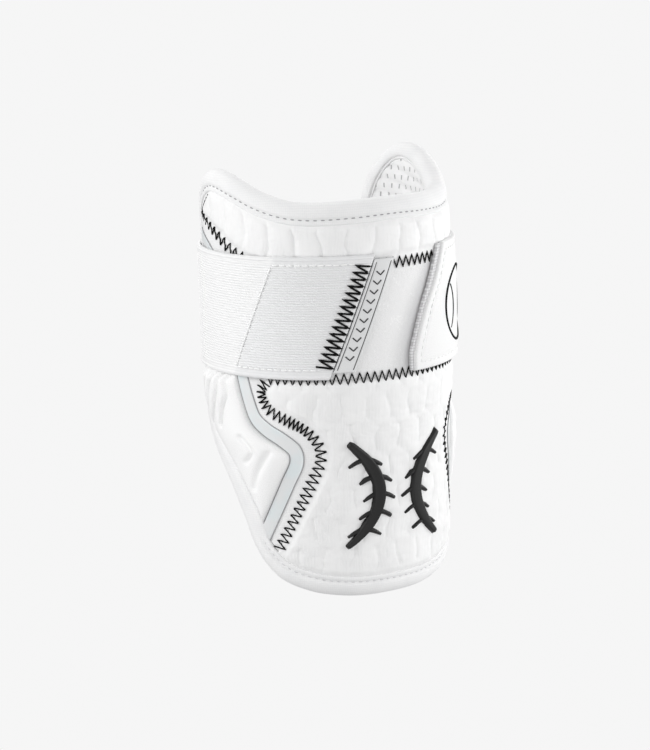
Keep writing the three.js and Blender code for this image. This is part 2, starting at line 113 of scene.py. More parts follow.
# Lines on the pattern
def smooth_line(points, closed=False, per_span=40):
    """A smooth line through pattern points."""
    pts = np.asarray(points, float)
    if closed:
        ring = np.vstack([pts[-1:], pts, pts[:2]])
    else:
        ring = np.vstack([2 * pts[0] - pts[1], pts, 2 * pts[-1] - pts[-2]])
    t = np.linspace(0, 1, per_span, endpoint=False)[:, None]
    spans = []
    for a, b, c, d in zip(ring, ring[1:], ring[2:], ring[3:]):
        d0, d1, d2 = (max(np.hypot(*(q - p)), 1e-6) ** 0.5 for p, q in ((a, b), (b, c), (c, d)))
        t1 = ((b - a) / d0 - (c - a) / (d0 + d1) + (c - b) / d1) * d1
        t2 = ((c - b) / d1 - (d - b) / (d1 + d2) + (d - c) / d2) * d1
        spans.append(b + t1 * t + (3 * (c - b) - 2 * t1 - t2) * t**2 + (2 * (b - c) + t1 + t2) * t**3)
    if not closed:
        spans.append(pts[-1:])
    return np.vstack(spans)


def even(count):
    return np.linspace(0, 1, count)


def line_at(points, shares):
    """Points of a line at shares of its length."""
    points = np.asarray(points, float)
    steps = np.hypot(*np.diff(points, axis=0).T)
    run = np.concatenate([[0], np.cumsum(steps)])
    want = np.asarray(shares) * run[-1]
    return np.stack([np.interp(want, run, points[:, k]) for k in (0, 1)], 1)


def length_of(points):
    return float(np.hypot(*np.diff(points, axis=0).T).sum())


def normals(points, closed=False):
    """Unit vectors to the left of a line's direction."""
    if closed:
        along = np.roll(points, -1, 0) - np.roll(points, 1, 0)
    else:
        along = np.gradient(points, axis=0)
    along /= np.hypot(*along.T)[:, None]
    return np.stack([-along[:, 1], along[:, 0]], 1)


def mirrored(points):
    return np.asarray(points) * [-1, 1]


def both_sides(grid, lift):
    """The grid and lift of the right piece, and those of the left one."""
    yield "right", grid, lift
    yield "left", mirrored(grid)[:, ::-1], lift[:, ::-1]


def heights(rows):
    """Outline shares to pattern points."""
    return [(r * HALF_GIRTH, u * (TOP_RISE if u > 0 else BOTTOM_DROP)) for r, u in rows]


def is_inside(points, ring):
    """Whether each point is inside a closed line."""
    x, y = points[..., 0][..., None], points[..., 1][..., None]
    a, b = ring, np.roll(ring, 1, 0)
    crosses = (a[:, 1] > y) != (b[:, 1] > y)
    rise = np.where(a[:, 1] == b[:, 1], 1, b[:, 1] - a[:, 1])
    at = (b[:, 0] - a[:, 0]) * (y - a[:, 1]) / rise + a[:, 0]
    return (crosses & (x < at)).sum(-1) % 2 == 1


def distance_to(points, line):
    """Distance of each pattern point from a line."""
    flat = points.reshape(-1, 2)
    out = np.empty(len(flat))
    a, ab = line[:-1], np.diff(line, axis=0)
    size = np.maximum((ab**2).sum(1), 1e-9)
    for i in range(0, len(flat), 4000):
        p = flat[i : i + 4000, None]
        t = np.clip(((p - a) * ab).sum(2) / size, 0, 1)
        out[i : i + 4000] = np.sqrt((((p - a) - t[..., None] * ab) ** 2).sum(2).min(1))
    return out.reshape(points.shape[:-1])


def smoothstep(x, low, high):
    t = np.clip((x - low) / (high - low), 0, 1)
    return t * t * (3 - 2 * t)


def level(lift):
    """A lift that is the same at all points."""
    return lambda points: np.full(len(points), lift)


def dense_shares(length, step, rim=1.2):
    """Even shares of a length, with more of them close to its two ends for a rounded rim."""
    inner = even(max(2, round(length / step)) + 1)
    ends = np.array([0.12, 0.35, 0.7]) * rim / length
    return np.unique(np.concatenate([inner, ends, 1 - ends]))


def coons(bottom, top, left, right, us, vs):
    """A grid between four border lines, rows from left to right and the first along the bottom."""
    b, t, l, r = line_at(bottom, us), line_at(top, us), line_at(left, vs), line_at(right, vs)
    u, v = us[None, :, None], vs[:, None, None]
    corners = (b[0] * (1 - u) + b[-1] * u) * (1 - v) + (t[0] * (1 - u) + t[-1] * u) * v
    return b[None] * (1 - v) + t[None] * v + l[:, None] * (1 - u) + r[:, None] * u - corners


def between(left, right, us, vs):
    """A grid between two lines, straight along its bottom and top."""
    return coons([left[0], right[0]], [left[-1], right[-1]], left, right, us, vs)


def ruled(bottom, top, us, vs):
    b, t = line_at(bottom, us), line_at(top, us)
    return b[None] * (1 - vs[:, None, None]) + t[None] * vs[:, None, None]


def on_body(pattern, lift):
    """Pattern points bent round the body, in metres. The left top corner hangs a little lower."""
    x, y = pattern[..., 0], pattern[..., 1]
    y = y - CORNER_DROP * smoothstep(-x, 50, 88) * smoothstep(y, 34, 56)
    turn = np.radians(x / MM_PER_DEGREE)
    bow = BOW * ((y - BOW_CENTRE) / ((TOP_RISE + BOTTOM_DROP) / 2)) ** 2
    nx, ny = np.sin(turn) / HALF_WIDTH, -np.cos(turn) / HALF_DEPTH
    size = np.hypot(nx, ny)
    px = HALF_WIDTH * np.sin(turn) + nx / size * lift
    py = -HALF_DEPTH * np.cos(turn) + bow + ny / size * lift
    return np.stack([px, py, y], -1) / 1000


# Meshes
def new_object(name, data):
    thing = bpy.data.objects.new(name, data)
    bpy.context.collection.objects.link(thing)
    return thing


def new_mesh(name, points, faces, pattern, material):
    """A smooth-shaded object with the flat pattern, in metres, as its UV map."""
    mesh = bpy.data.meshes.new(name)
    mesh.from_pydata(points.tolist(), [], faces.tolist() if hasattr(faces, "tolist") else faces)
    mesh.polygons.foreach_set("use_smooth", [True] * len(mesh.polygons))
    layer = mesh.uv_layers.new(name="pattern")
    index = np.empty(len(mesh.loops), int)
    mesh.loops.foreach_get("vertex_index", index)
    layer.data.foreach_set("uv", (np.asarray(pattern)[index] / 1000).ravel().astype(np.float32))
    mesh.update()
    mesh.materials.append(material)
    return new_object(name, mesh)


def dress(thing, nodes=()):
    """Puts a piece on the object, in place of some CAD nodes."""
    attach(thing, "root")
    if nodes:
        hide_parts(*nodes)


def quads(*corners):
    """Faces from the numbers of their four corners."""
    return np.stack([c.ravel() for c in corners], 1)


def sheet_parts(grid, lift_in, lift_out):
    """The points, faces and pattern of a closed solid over a pattern grid, between two lifts."""
    rows, columns = grid.shape[:2]
    points = np.concatenate([on_body(grid, lift_in), on_body(grid, lift_out)])
    i, o = np.arange(2 * rows * columns).reshape(2, rows, columns)
    walls = [(i[0], o[0]), (o[-1], i[-1]), (o[:, 0], i[:, 0]), (i[:, -1], o[:, -1])]
    faces = np.concatenate([
        quads(o[:-1, :-1], o[:-1, 1:], o[1:, 1:], o[1:, :-1]),
        quads(i[:-1, :-1], i[1:, :-1], i[1:, 1:], i[:-1, 1:]),
        *(quads(a[:-1], a[1:], b[1:], b[:-1]) for a, b in walls),
    ])
    return points.reshape(-1, 3), faces, np.concatenate([grid.reshape(-1, 2)] * 2)


def sheet_mesh(name, grid, lift_in, lift_out, material):
    return new_mesh(name, *sheet_parts(grid, lift_in, lift_out), material)


def joined_mesh(name, parts, material):
    """Several closed solids as one object."""
    starts = np.cumsum([0] + [len(p[0]) for p in parts[:-1]])
    faces = np.concatenate([p[1] + start for p, start in zip(parts, starts)])
    points, pattern = (np.vstack([p[k] for p in parts]) for k in (0, 2))
    return new_mesh(name, points, faces, pattern, material)


def strands(name, paths, material, sides=6):
    """Round threads, each a list of (pattern points, lifts, radii in millimetres), as one mesh."""
    all_points, faces, all_pattern = [], [], []
    start = 0
    angles = np.linspace(0, 2 * math.pi, sides, endpoint=False)
    for pattern, lift, radius in paths:
        centre = on_body(pattern, lift)
        along = np.gradient(centre, axis=0)
        along /= np.linalg.norm(along, axis=1)[:, None]
        out = on_body(pattern, lift + 1) - centre
        side = np.cross(along, out)
        side /= np.linalg.norm(side, axis=1)[:, None]
        up = np.cross(side, along)
        r = (np.zeros(len(centre)) + radius)[:, None, None] / 1000
        ring = side[:, None] * np.cos(angles)[:, None] + up[:, None] * np.sin(angles)[:, None]
        n = len(centre)
        all_points.append((centre[:, None] + r * ring).reshape(-1, 3))
        all_pattern.append(np.repeat(pattern, sides, 0))
        for k in range(n - 1):
            for s in range(sides):
                e = (s + 1) % sides
                a, b = start + k * sides, start + (k + 1) * sides
                faces.append([a + s, a + e, b + e, b + s])
        faces.append([start + s for s in reversed(range(sides))])
        faces.append([start + (n - 1) * sides + s for s in range(sides)])
        start += n * sides
    return new_mesh(name, np.vstack(all_points), faces, np.vstack(all_pattern), material)


POINTS_PER_LEG = 5


def zigzag(line, pitch, half_width, radius, lift_at, tight=()):
    """A zigzag stitch along a line, lying on the surface that lift_at gives. It is closer about the shares
    of the length in tight."""
    along = even(400)
    dense = 1 + sum(0.7 * np.exp(-(((along - share) / 0.07) ** 2)) for share in tight) + 0 * along
    grown = np.concatenate([[0], np.cumsum((dense[1:] + dense[:-1]) / 2)])
    legs = max(2, round(length_of(line) / (pitch / 2) * dense.mean()))
    shares = np.interp(np.linspace(0, grown[-1], legs + 1), grown, along)
    base = line_at(line, shares)
    sides = np.where(np.arange(legs + 1) % 2 == 0, half_width, -half_width)
    turns = base + normals(base) * sides[:, None]
    fine = line_at(turns, even(legs * POINTS_PER_LEG + 1))
    return fine, lift_at(fine) + radius * 0.75, radius


def dashes(line, pitch, length, radius, lift_at, sink=0.6):
    """Running stitches along a line, shorter than the pitch, each dipping into the cloth at its ends."""
    total = length_of(line)
    count = int(total / pitch)
    reach = length / 2 / total * np.array([-1, -0.72, -0.3, 0.3, 0.72, 1])
    dip = np.array([1, 0.25, 0, 0, 0.25, 1]) * sink
    size = np.array([0.5, 0.9, 1, 1, 0.9, 0.5]) * radius
    made = []
    for k in range(count):
        points = line_at(line, (k + 0.5) / count + reach)
        made.append((points, lift_at(points) + radius * 0.6 - dip * radius * 2, size))
    return made


# Cloth simulation
CLOTH_FRAMES = 20
CLOTH_PRESSURE = 50


def inflate(grid, lift, pinned, slack=0.006, cap=1.0, sign=1):
    """The rise in millimetres of each point of a grid that Blender's cloth blows up between its pinned
    points. Slack is how much larger the cloth is cut, and sign -1 is inwards."""
    rows, columns = grid.shape[:2]
    rest = on_body(grid, lift)
    index = np.arange(rows * columns).reshape(rows, columns)
    corners = [index[:-1, :-1], index[:-1, 1:], index[1:, 1:], index[1:, :-1]][::sign]
    mesh = bpy.data.meshes.new("cloth")
    mesh.from_pydata(rest.reshape(-1, 3).tolist(), [], quads(*corners).tolist())
    thing = new_object("cloth", mesh)
    group = thing.vertex_groups.new(name="sewn")
    group.add([int(i) for i in np.nonzero(pinned.ravel())[0]], 1.0, "REPLACE")
    cloth = thing.modifiers.new("cloth", "CLOTH")
    settings = cloth.settings
    settings.vertex_group_mass = "sewn"
    settings.use_pressure = True
    settings.uniform_pressure_force = CLOTH_PRESSURE
    settings.shrink_min = -slack
    settings.mass = 0.3
    settings.quality = 5
    settings.bending_stiffness = 0.5
    settings.air_damping = 5
    settings.effector_weights.gravity = 0
    cloth.collision_settings.use_collision = False
    cloth.point_cache.frame_start = 1
    cloth.point_cache.frame_end = CLOTH_FRAMES
    scene = bpy.context.scene
    for step in range(1, CLOTH_FRAMES + 1):
        scene.frame_set(step)
    done = thing.evaluated_get(bpy.context.evaluated_depsgraph_get())
    moved = np.empty(rows * columns * 3, np.float32)
    done.data.vertices.foreach_get("co", moved)
    bpy.data.objects.remove(thing)
    bpy.data.meshes.remove(mesh)
    scene.frame_set(1)
    outward = on_body(grid, lift + 1) - rest
    rise = ((moved.reshape(rest.shape) - rest) * outward).sum(2) * 1e6 * sign
    return np.clip(rise, -0.1, cap)


def refined(rise, us, vs, fine_us, fine_vs):
    """A coarse grid of numbers at the points of a finer one."""
    rows = np.stack([np.interp(fine_us, us, row) for row in rise])
    return np.stack([np.interp(fine_vs, vs, column) for column in rows.T], 1)


# Materials
class Finish:
    """A node material whose colour, roughness and bump are built up step by step."""

    def __init__(self, name, colour, roughness, metallic=0, sheen=0, sheen_roughness=0.5, coat=0, gloss=0.5):
        self.material = bpy.data.materials.new(name)
        self.material.use_nodes = True
        self.tree = self.material.node_tree
        self.shader = self.tree.nodes["Principled BSDF"].inputs
        self.colour = (*colour, 1)
        self.normal = None
        own = {"Base Color": self.colour, "Roughness": roughness, "Metallic": metallic, "Sheen Weight": sheen,
               "Sheen Roughness": sheen_roughness, "Coat Weight": coat, "Specular IOR Level": gloss}
        for key, value in own.items():
            self.feed(self.shader[key], value)
        uv = self.add("UVMap")
        uv.uv_map = "pattern"
        split = self.add("SeparateXYZ", {0: uv.outputs[0]})
        self.x, self.y = (self.calc("MULTIPLY", split.outputs[k], 1000) for k in (0, 1))

    def feed(self, socket, value):
        """Links a socket to another one, or sets it to a number or colour."""
        if hasattr(value, "is_linked"):
            self.tree.links.new(value, socket)
        else:
            socket.default_value = value

    def add(self, kind, inputs=()):
        """A new node, its inputs fed by name or number."""
        node = self.tree.nodes.new("ShaderNode" + kind)
        for key in inputs:
            self.feed(node.inputs[key], inputs[key])
        return node

    def calc(self, operation, *values):
        node = self.add("Math")
        node.operation = operation
        for socket, value in zip(node.inputs, values):
            self.feed(socket, value)
        return node.outputs[0]

    def place(self, scale_x, scale_y):
        """Pattern coordinates scaled for a texture node, per millimetre."""
        scaled = {0: self.calc("MULTIPLY", self.x, scale_x), 1: self.calc("MULTIPLY", self.y, scale_y)}
        return self.add("CombineXYZ", scaled).outputs[0]

    def noise(self, scale_x, scale_y, detail=2, rough=0.5):
        place = self.place(scale_x, scale_y)
        inputs = {"Vector": place, "Scale": 1, "Detail": detail, "Roughness": rough}
        return self.add("TexNoise", inputs).outputs[0]

    def cells(self, scale_x, scale_y, randomness):
        inputs = {"Vector": self.place(scale_x, scale_y), "Scale": 1, "Randomness": randomness}
        return self.add("TexVoronoi", inputs).outputs["Distance"]

    def wave(self, axis, pitch, bend=0, start=0):
        """A soft ridge every pitch millimetres across x or y, highest a quarter pitch past the start."""
        value = self.x if axis == "x" else self.y
        if bend:
            wander = self.calc("MULTIPLY", self.noise(0.12, 0.12), bend)
            value = self.calc("ADD", value, wander)
        value = self.calc("SUBTRACT", value, start)
        return self.calc("SINE", self.calc("MULTIPLY", value, 2 * math.pi / pitch))

    def bump(self, height, depth, strength=1):
        """Adds relief of so many millimetres."""
        inputs = {"Strength": strength, "Distance": depth / 1000, "Height": height}
        if self.normal is not None:
            inputs["Normal"] = self.normal
        self.normal = self.add("Bump", inputs).outputs[0]
        self.feed(self.shader["Normal"], self.normal)

    def tint(self, share, colour, most=1):
        """Mixes a second colour in by a share, times most."""
        if most != 1:
            share = self.calc("MULTIPLY", share, most)
        node = self.add("Mix")
        node.data_type = "RGBA"
        for key, value in ((0, share), (6, self.colour), (7, (*colour, 1))):
            self.feed(node.inputs[key], value)
        self.colour = node.outputs[2]
        self.feed(self.shader["Base Color"], self.colour)

    def rough(self, share, low, high):
        self.feed(self.shader["Roughness"], self.add("MapRange", {0: share, 3: low, 4: high}).outputs[0])

    def ramp(self, value, low, high):
        node = self.add("MapRange", {0: value, 1: low, 2: high})
        node.interpolation_type = "SMOOTHSTEP"
        return node.outputs[0]


# The elastic's rib pitch, and the ends of the slanting seam where it is doubled, on the pattern
RIB_PITCH = 1.09
FOLD_TOP = (FULL_TURN - 58 * MM_PER_DEGREE, 21.7)
FOLD_FOOT = (FULL_TURN - 78 * MM_PER_DEGREE, -22.3)
WHITE = (0.86, 0.86, 0.86)
SHADE = (0.74, 0.745, 0.755)
DARK_SHADE = (0.6, 0.6, 0.62)
PILE_SHADE = (0.76, 0.76, 0.77)


def knit_finish(name):
    """Brushed stretch knit over foam: a fine mesh of loops with a slight mottle."""
    f = Finish(name, (0.84, 0.84, 0.84), 0.85, sheen=0.2, sheen_roughness=0.4)
    loops = f.cells(1.25, 1.0, 0.2)
    mottle = f.noise(0.12, 0.12, 2)
    f.tint(f.ramp(mottle, 0.35, 0.8), SHADE, 0.3)
    f.tint(f.ramp(loops, 0.25, 0.6), DARK_SHADE, 0.16)
    f.bump(loops, 0.1, 0.5)
    f.rough(mottle, 0.78, 0.92)
    return f.material


def panel_finish():
    """Smooth stretch cloth with fine upright ribs and small creases."""
    f = Finish("panel_stretch_cloth", WHITE, 0.62, sheen=0.12, sheen_roughness=0.4)
    ribs = f.wave("x", 0.62, bend=1.0)
    crease = f.noise(0.8, 0.09, 3, 0.6)
    patches = f.noise(0.1, 0.06, 2)
    fine = f.calc("MULTIPLY", ribs, f.ramp(patches, 0.4, 0.62))
    f.tint(f.ramp(crease, 0.45, 0.85), SHADE, 0.35)
    f.tint(f.ramp(fine, 0.1, 0.9), DARK_SHADE, 0.14)
    f.bump(fine, 0.06, 0.6)
    f.bump(crease, 0.16, 0.5)
    f.rough(crease, 0.55, 0.72)
    return f.material


def plain_finish(name, colour, roughness, grain=0.06, gloss=0.5, spread=0.06, scale=3, shade=0.85):
    f = Finish(name, colour, roughness, gloss=gloss)
    speck = f.noise(scale, scale, 3)
    f.tint(f.ramp(speck, 0.4, 0.8), tuple(c * shade for c in colour))
    f.bump(speck, grain, 0.6)
    f.rough(speck, roughness - spread, roughness + spread)
    return f.material


def elastic_finish():
    """Woven elastic: weft across the ribs, with a soft mottle along it."""
    f = Finish("woven_elastic", WHITE, 0.78, sheen=0.15)
    weft = f.wave("x", 0.62, bend=0.3)
    ribs = f.wave("y", RIB_PITCH, start=-RIB_PITCH / 4)
    # Painted shade in the grooves between the ribs, where the strap's geometric ribs dip
    f.tint(f.ramp(ribs, -0.1, -0.95), DARK_SHADE, 0.3)
    f.tint(f.ramp(f.noise(0.2, 1.1, 3), 0.4, 0.8), SHADE, 0.25)
    # Painted shade: the doubled front part, past the slanting seam, is darkened in colour
    slant = (FOLD_TOP[0] - FOLD_FOOT[0]) / (FOLD_TOP[1] - FOLD_FOOT[1])
    past = f.calc("MULTIPLY_ADD", f.y, -slant, slant * FOLD_TOP[1] - FOLD_TOP[0])
    past = f.calc("ADD", f.x, past)
    f.tint(f.ramp(past, -0.5, 1.5), (0.72, 0.725, 0.735), 0.55)
    f.bump(weft, 0.04, 0.4)
    f.bump(f.noise(1.4, 1.4, 2), 0.08, 0.5)
    return f.material


SLIT_PITCH_X = 5.2
SLIT_PITCH_Y = 4.2


def liner_finish():
    """Quilted mesh lining with staggered upright slits."""
    f = Finish("liner_mesh", (0.88, 0.88, 0.88), 0.85, sheen=0.15)

    def from_middle(value, pitch):
        """Millimetres from the middle of a slit's field, for its place in pitches."""
        return f.calc("ABSOLUTE", f.calc("MULTIPLY", f.calc("SUBTRACT", f.calc("FRACT", value), 0.5), pitch))

    up = f.calc("DIVIDE", f.y, SLIT_PITCH_Y)
    shift = f.calc("MULTIPLY", f.calc("PINGPONG", f.calc("FLOOR", up), 1), 0.5)
    across = f.calc("ADD", f.calc("DIVIDE", f.x, SLIT_PITCH_X), shift)
    half_height = f.calc("SUBTRACT", from_middle(up, SLIT_PITCH_Y), 0.6)
    far = f.calc("MAXIMUM", from_middle(across, SLIT_PITCH_X), half_height)
    slit = f.ramp(far, 0.5, 0.25)
    f.tint(f.ramp(f.noise(0.3, 0.3, 3), 0.4, 0.8), PILE_SHADE, 0.3)
    # Painted shade: the slits, which the bump below sinks, are darkened in colour
    f.tint(slit, (0.3, 0.3, 0.31), 0.7)
    f.bump(f.calc("MULTIPLY", slit, -1), 0.5, 0.8)
    f.bump(f.cells(1.6, 1.6, 0.3), 0.1, 0.4)
    return f.material


def pile_finish():
    """Brushed loop cloth that the hooks fasten to."""
    f = Finish("loop_pile", (0.84, 0.84, 0.84), 0.95, sheen=0.5, sheen_roughness=0.6)
    fuzz = f.noise(2.6, 2.6, 4, 0.7)
    f.tint(f.ramp(fuzz, 0.4, 0.75), PILE_SHADE)
    # Brighter tufts in patches
    patch = f.ramp(f.noise(0.12, 0.12, 2), 0.42, 0.6)
    tuft = f.calc("MULTIPLY", f.noise(1.1, 1.1, 3, 0.7), patch)
    f.tint(f.ramp(tuft, 0.5, 0.62), (0.97, 0.97, 0.97), 0.7)
    # Painted shadow: the pile is darkened in colour beside the tab's front edge, where the tab casts its
    # shade
    bend = f.calc("MULTIPLY_ADD", f.y, 0.0075, 0.47)
    edge = f.calc("MULTIPLY_ADD", f.y, bend, 12.0)
    near = f.ramp(f.calc("SUBTRACT", f.x, edge), -11.0, 0.5)
    f.tint(near, (0.5, 0.5, 0.51), 0.7)
    f.bump(fuzz, 0.25, 0.6)
    f.bump(f.noise(0.5, 0.5, 3), 0.3, 0.5)
    return f.material


def silver_finish():
    """Reflective film with a pearly sheen over fine cloth."""
    f = Finish("silver_film", (0.78, 0.79, 0.795), 0.42, metallic=0.2, coat=0.1)
    cloud = f.noise(0.1, 0.1, 2)
    f.tint(f.ramp(cloud, 0.35, 0.7), (0.74, 0.795, 0.81))
    f.bump(f.cells(2.2, 2.2, 0.2), 0.05, 0.4)
    f.rough(cloud, 0.3, 0.45)
    return f.material


def hook_finish():
    f = Finish("hook_tape", (0.76, 0.76, 0.765), 0.7)
    hooks = f.cells(0.8, 0.8, 0.1)
    # Painted shade: the tape is darkened between the hooks, where the bump below sinks it
    f.tint(f.ramp(hooks, 0.25, 0.5), (0.42, 0.42, 0.43), 0.6)
    f.bump(f.calc("MULTIPLY", hooks, -1), 0.25, 0.6)
    return f.material


def label_finish():
    f = Finish("label_silver", (0.72, 0.725, 0.73), 0.45, metallic=0.1)
    grain = f.noise(2.5, 2.5, 3)
    f.tint(f.ramp(grain, 0.4, 0.8), (0.66, 0.665, 0.67))
    f.bump(grain, 0.04, 0.5)
    f.rough(grain, 0.36, 0.5)
    return f.material


knit = knit_finish("brushed_knit")
pad_cloth = knit_finish("pad_knit")
panel_cloth = panel_finish()
wing_cloth = plain_finish("wing_foam_skin", (0.9, 0.9, 0.9), 0.6, 0.05)
liner_cloth = liner_finish()
elastic = elastic_finish()
pile = pile_finish()
tab_cloth = plain_finish("tab_cloth", (0.84, 0.84, 0.84), 0.6, 0.08)
silver = silver_finish()
rubber = plain_finish("black_rubber", (0.006, 0.006, 0.006), 0.51, 0.04, 0.35, 0.09, scale=4, shade=2)
hooks = hook_finish()
label_silver = label_finish()
black_thread = plain_finish("black_thread", (0.006, 0.006, 0.006), 0.7, 0.06, 0.1)
grey_thread = plain_finish("grey_thread", (0.36, 0.36, 0.37), 0.7)
pale_thread = plain_finish("pale_thread", (0.68, 0.68, 0.69), 0.7)
dark_print = plain_finish("dark_print", (0.045, 0.045, 0.047), 0.5, 0.04, 0.25)
white_thread = plain_finish("white_thread", (0.95, 0.95, 0.95), 0.6)

# The shell's outline and what follows from it
right = heights(OUTLINE) + [(0, -BOTTOM_DROP)]
left = [(-x, y) for x, y in right[1:-1]][::-1]
loop = smooth_line(right + left, closed=True)
loop = line_at(np.vstack([loop, loop[:1]]), even(1001))[:-1]
loop_in = -normals(loop, closed=True)
inset = loop + loop_in * INSET
# Where the wings lie against the binding, which is one broad roll there and has no stitched lip
beside_wing = smoothstep(np.abs(loop[:, 0]), 62, 70) * (1 - smoothstep(loop[:, 1], 22, 34))


# Edge binding: a padded roll with a stitched groove and a flat lip inside it, and a bead against the lining
def binding():
    halves = (BINDING_OUT - BINDING_IN) / 2
    middle = (BINDING_OUT + BINDING_IN) / 2
    roll = 5.4
    gather_depth = 0.16
    run = np.arange(len(loop)) / len(loop) * length_of(loop)
    gather = np.sin(run / 1.9 + 1.3 * np.sin(run / 7.3)) * 0.5
    gather += np.sin(run / 3.1 + 2 * np.sin(run / 11)) * 0.5
    # Sections from the inner edge outwards: inset, lift and share of the gathers
    lip = [(9.6, 0.5, 0), (9.6, 0.9, 0), (9.35, 1.25, 0), (8.9, 1.42, 0), (8.3, 1.42, 0), (7.85, 1.2, 0),
           (7.5, 0.85, 0), (7.15, 0.65, 0), (6.8, 0.8, 0.2), (6.3, 1.25, 0.4), (5.9, 1.45, 0.5)]
    wide = [(10.7, -0.6, 0), (10.7, 0.4, 0), (10.55, 0.85, 0.1), (10.2, 1.2, 0.2), (9.7, 1.45, 0.3),
            (9.1, 1.62, 0.4), (8.5, 1.72, 0.4), (7.9, 1.77, 0.5), (7.3, 1.75, 0.5), (6.6, 1.68, 0.5),
            (5.9, 1.55, 0.5)]
    section = list(lip)
    for k in range(25):
        a = math.pi * k / 24
        section.append((roll * (1 - math.sin(a)), middle + halves * math.cos(a), 0.4))
    section += [(5.8, BINDING_IN + 0.25, 0.4), (6.15, BINDING_IN + 0.95, 0.1), (6.4, BINDING_IN + 0.55, 0),
                (6.8, BINDING_IN + 0.3, 0), (7.2, BINDING_IN + 0.5, 0), (7.4, BINDING_IN + 1.1, 0),
                (7.4, -4.6, 0), (BINDING_WIDTH, -4.4, 0), (BINDING_WIDTH, -2, 0)]
    wide += section[len(lip) :]
    rings, pattern = [], []
    for narrow, broad in zip(section, wide):
        across, lift, ripple = (n * (1 - beside_wing) + b * beside_wing for n, b in zip(narrow, broad))
        flat = loop + loop_in * across[:, None]
        rings.append(on_body(flat, lift + gather * ripple * gather_depth))
        pattern.append(flat)
    n, m = len(section), len(loop)
    number = np.arange(n * m).reshape(n, m)
    after, far = np.roll(number, -1, 0), np.roll(number, -1, 1)
    both = np.roll(after, -1, 1)
    faces = quads(number, far, both, after)
    thing = new_mesh("binding_roll", np.vstack(rings), faces, np.vstack(pattern), knit)
    dress(thing, ["edge_binding"])


binding()
groove = loop + loop_in * STITCH_INSET
running = dashes(np.vstack([groove, groove[:1]]), 3.2, 1.7, 0.27, level(0.6))
running = [r for r in running if not (abs(r[0][0, 0]) > 65 and r[0][0, 1] < 26)]
high = [r for r in running if r[0][0, 1] > 0]
low = [r for r in running if r[0][0, 1] < 0]
dress(strands("binding_stitches", high, grey_thread))
dress(strands("binding_stitches_low", low, pale_thread))

# Pad cloth and lining: both fill the outline inside the binding
start = int(np.argmax(inset[:, 0]))
other = int(np.argmin(inset[:, 0]))
upper_edge = np.vstack([inset[other:], inset[: start + 1]])
lower_edge = inset[start : other + 1][::-1]
shell_us = np.linspace(0.004, 0.996, 190)
shell_vs = even(150)
shell_grid = ruled(lower_edge, upper_edge, shell_us, shell_vs)


def pad():
    dip = distance_to(shell_grid, np.vstack([inset, inset[:1]]))
    corner = smoothstep(np.abs(shell_grid[..., 0]), 82, 90) * smoothstep(shell_grid[..., 1], 32, 38)
    lift = 0.45 + 0.5 * corner - 0.5 * np.exp(-dip / 0.8)
    dress(sheet_mesh("pad_cloth", shell_grid, -4.0, lift, pad_cloth), ["foam_pad"])


def lining():
    border = loop + loop_in * LINING_INSET
    under, over = border[start : other + 1][::-1], np.vstack([border[other:], border[: start + 1]])

    def channels(points):
        slant = points[..., 1] - 0.2 * np.abs(points[..., 0])
        return np.abs(np.sin(np.pi * (slant + 0.6 * np.sin(points[..., 0] / 9)) / 6.6))

    foot = LINER_IN + 0.6
    grid = ruled(under, over, shell_us, shell_vs)
    puff = 1.4 * channels(grid) ** 0.7
    few_us, few_vs = np.linspace(0.004, 0.996, 150), even(116)
    coarse = ruled(under, over, few_us, few_vs)
    pinned = (distance_to(coarse, np.vstack([border, border[:1]])) < 1) | (channels(coarse) < 0.25)
    rise = inflate(coarse, foot, pinned, slack=0.012, cap=1.2, sign=-1)
    puff = 0.6 * puff + refined(rise, few_us, few_vs, shell_us, shell_vs)
    dress(sheet_mesh("lining_mesh", grid, foot - puff, LINER_OUT, liner_cloth), ["liner"])


pad()
lining()


# The puffed cells of the two panels
CELL_SPREAD = 2.9


def cell_relief(points, pitch_x, pitch_y, start_x, seed, shift=0.5, cross=0.12):
    """Puffiness of sewn cells, from 0 at a sewn line to 1 inside a cell. Every other level of cells is
    shifted by a share of the pitch, and the cells wander a little. Cross is how deep the level seams are."""
    rng = np.random.default_rng(seed)
    cx, cy = np.meshgrid(np.arange(-14, 15), np.arange(-10, 11))
    shifted = np.where(cy % 2 == 0, 0, shift * pitch_x)
    x = start_x + (cx + 0.5) * pitch_x + shifted + rng.normal(0, 0.4, cx.shape)
    y = cy * pitch_y + rng.normal(0, 0.7, cx.shape)
    centres = np.stack([x.ravel(), y.ravel()], 1)
    flat = points.reshape(-1, 2)
    wave = 0.9 * np.sin(flat[:, 1] / 3.4 + flat[:, 0] / 9)
    wave += 0.35 * np.sin(flat[:, 1] / 1.6 + flat[:, 0] / 4)
    flat = flat + np.stack([wave, 0.6 * np.sin(flat[:, 0] / 2.6)], 1)
    out = np.empty(len(flat))
    squash = np.array([1, pitch_x / pitch_y])
    for k in range(0, len(flat), 3000):
        p = flat[k : k + 3000, None]
        size = (((p - centres) * squash) ** 2).sum(2)
        order = np.argsort(size, axis=1)[:, :5]
        near = np.take_along_axis(size, order, 1)
        puff = np.ones(len(order))
        for j in (1, 2, 3, 4):
            step = (centres[order[:, j]] - centres[order[:, 0]]) * squash
            reach = np.hypot(*step.T)
            edge = (near[:, j] - near[:, 0]) / (2 * reach)
            upright = smoothstep(np.abs(step[:, 0]) / reach, 0.55, 0.95)
            weight = cross + (1 - cross) * upright
            wall = np.clip(edge / CELL_SPREAD, 0, 1)
            puff *= 1 - weight * (1 - np.sqrt(1 - (1 - wall) ** 2))
        out[k : k + 3000] = puff
    return out.reshape(points.shape[:-1])


def border_line(rows, seam, reach):
    """A panel's right border, from shares of HALF_GIRTH and of the reach away from its seam."""
    return smooth_line([(r * HALF_GIRTH, seam + share * reach) for r, share in rows])


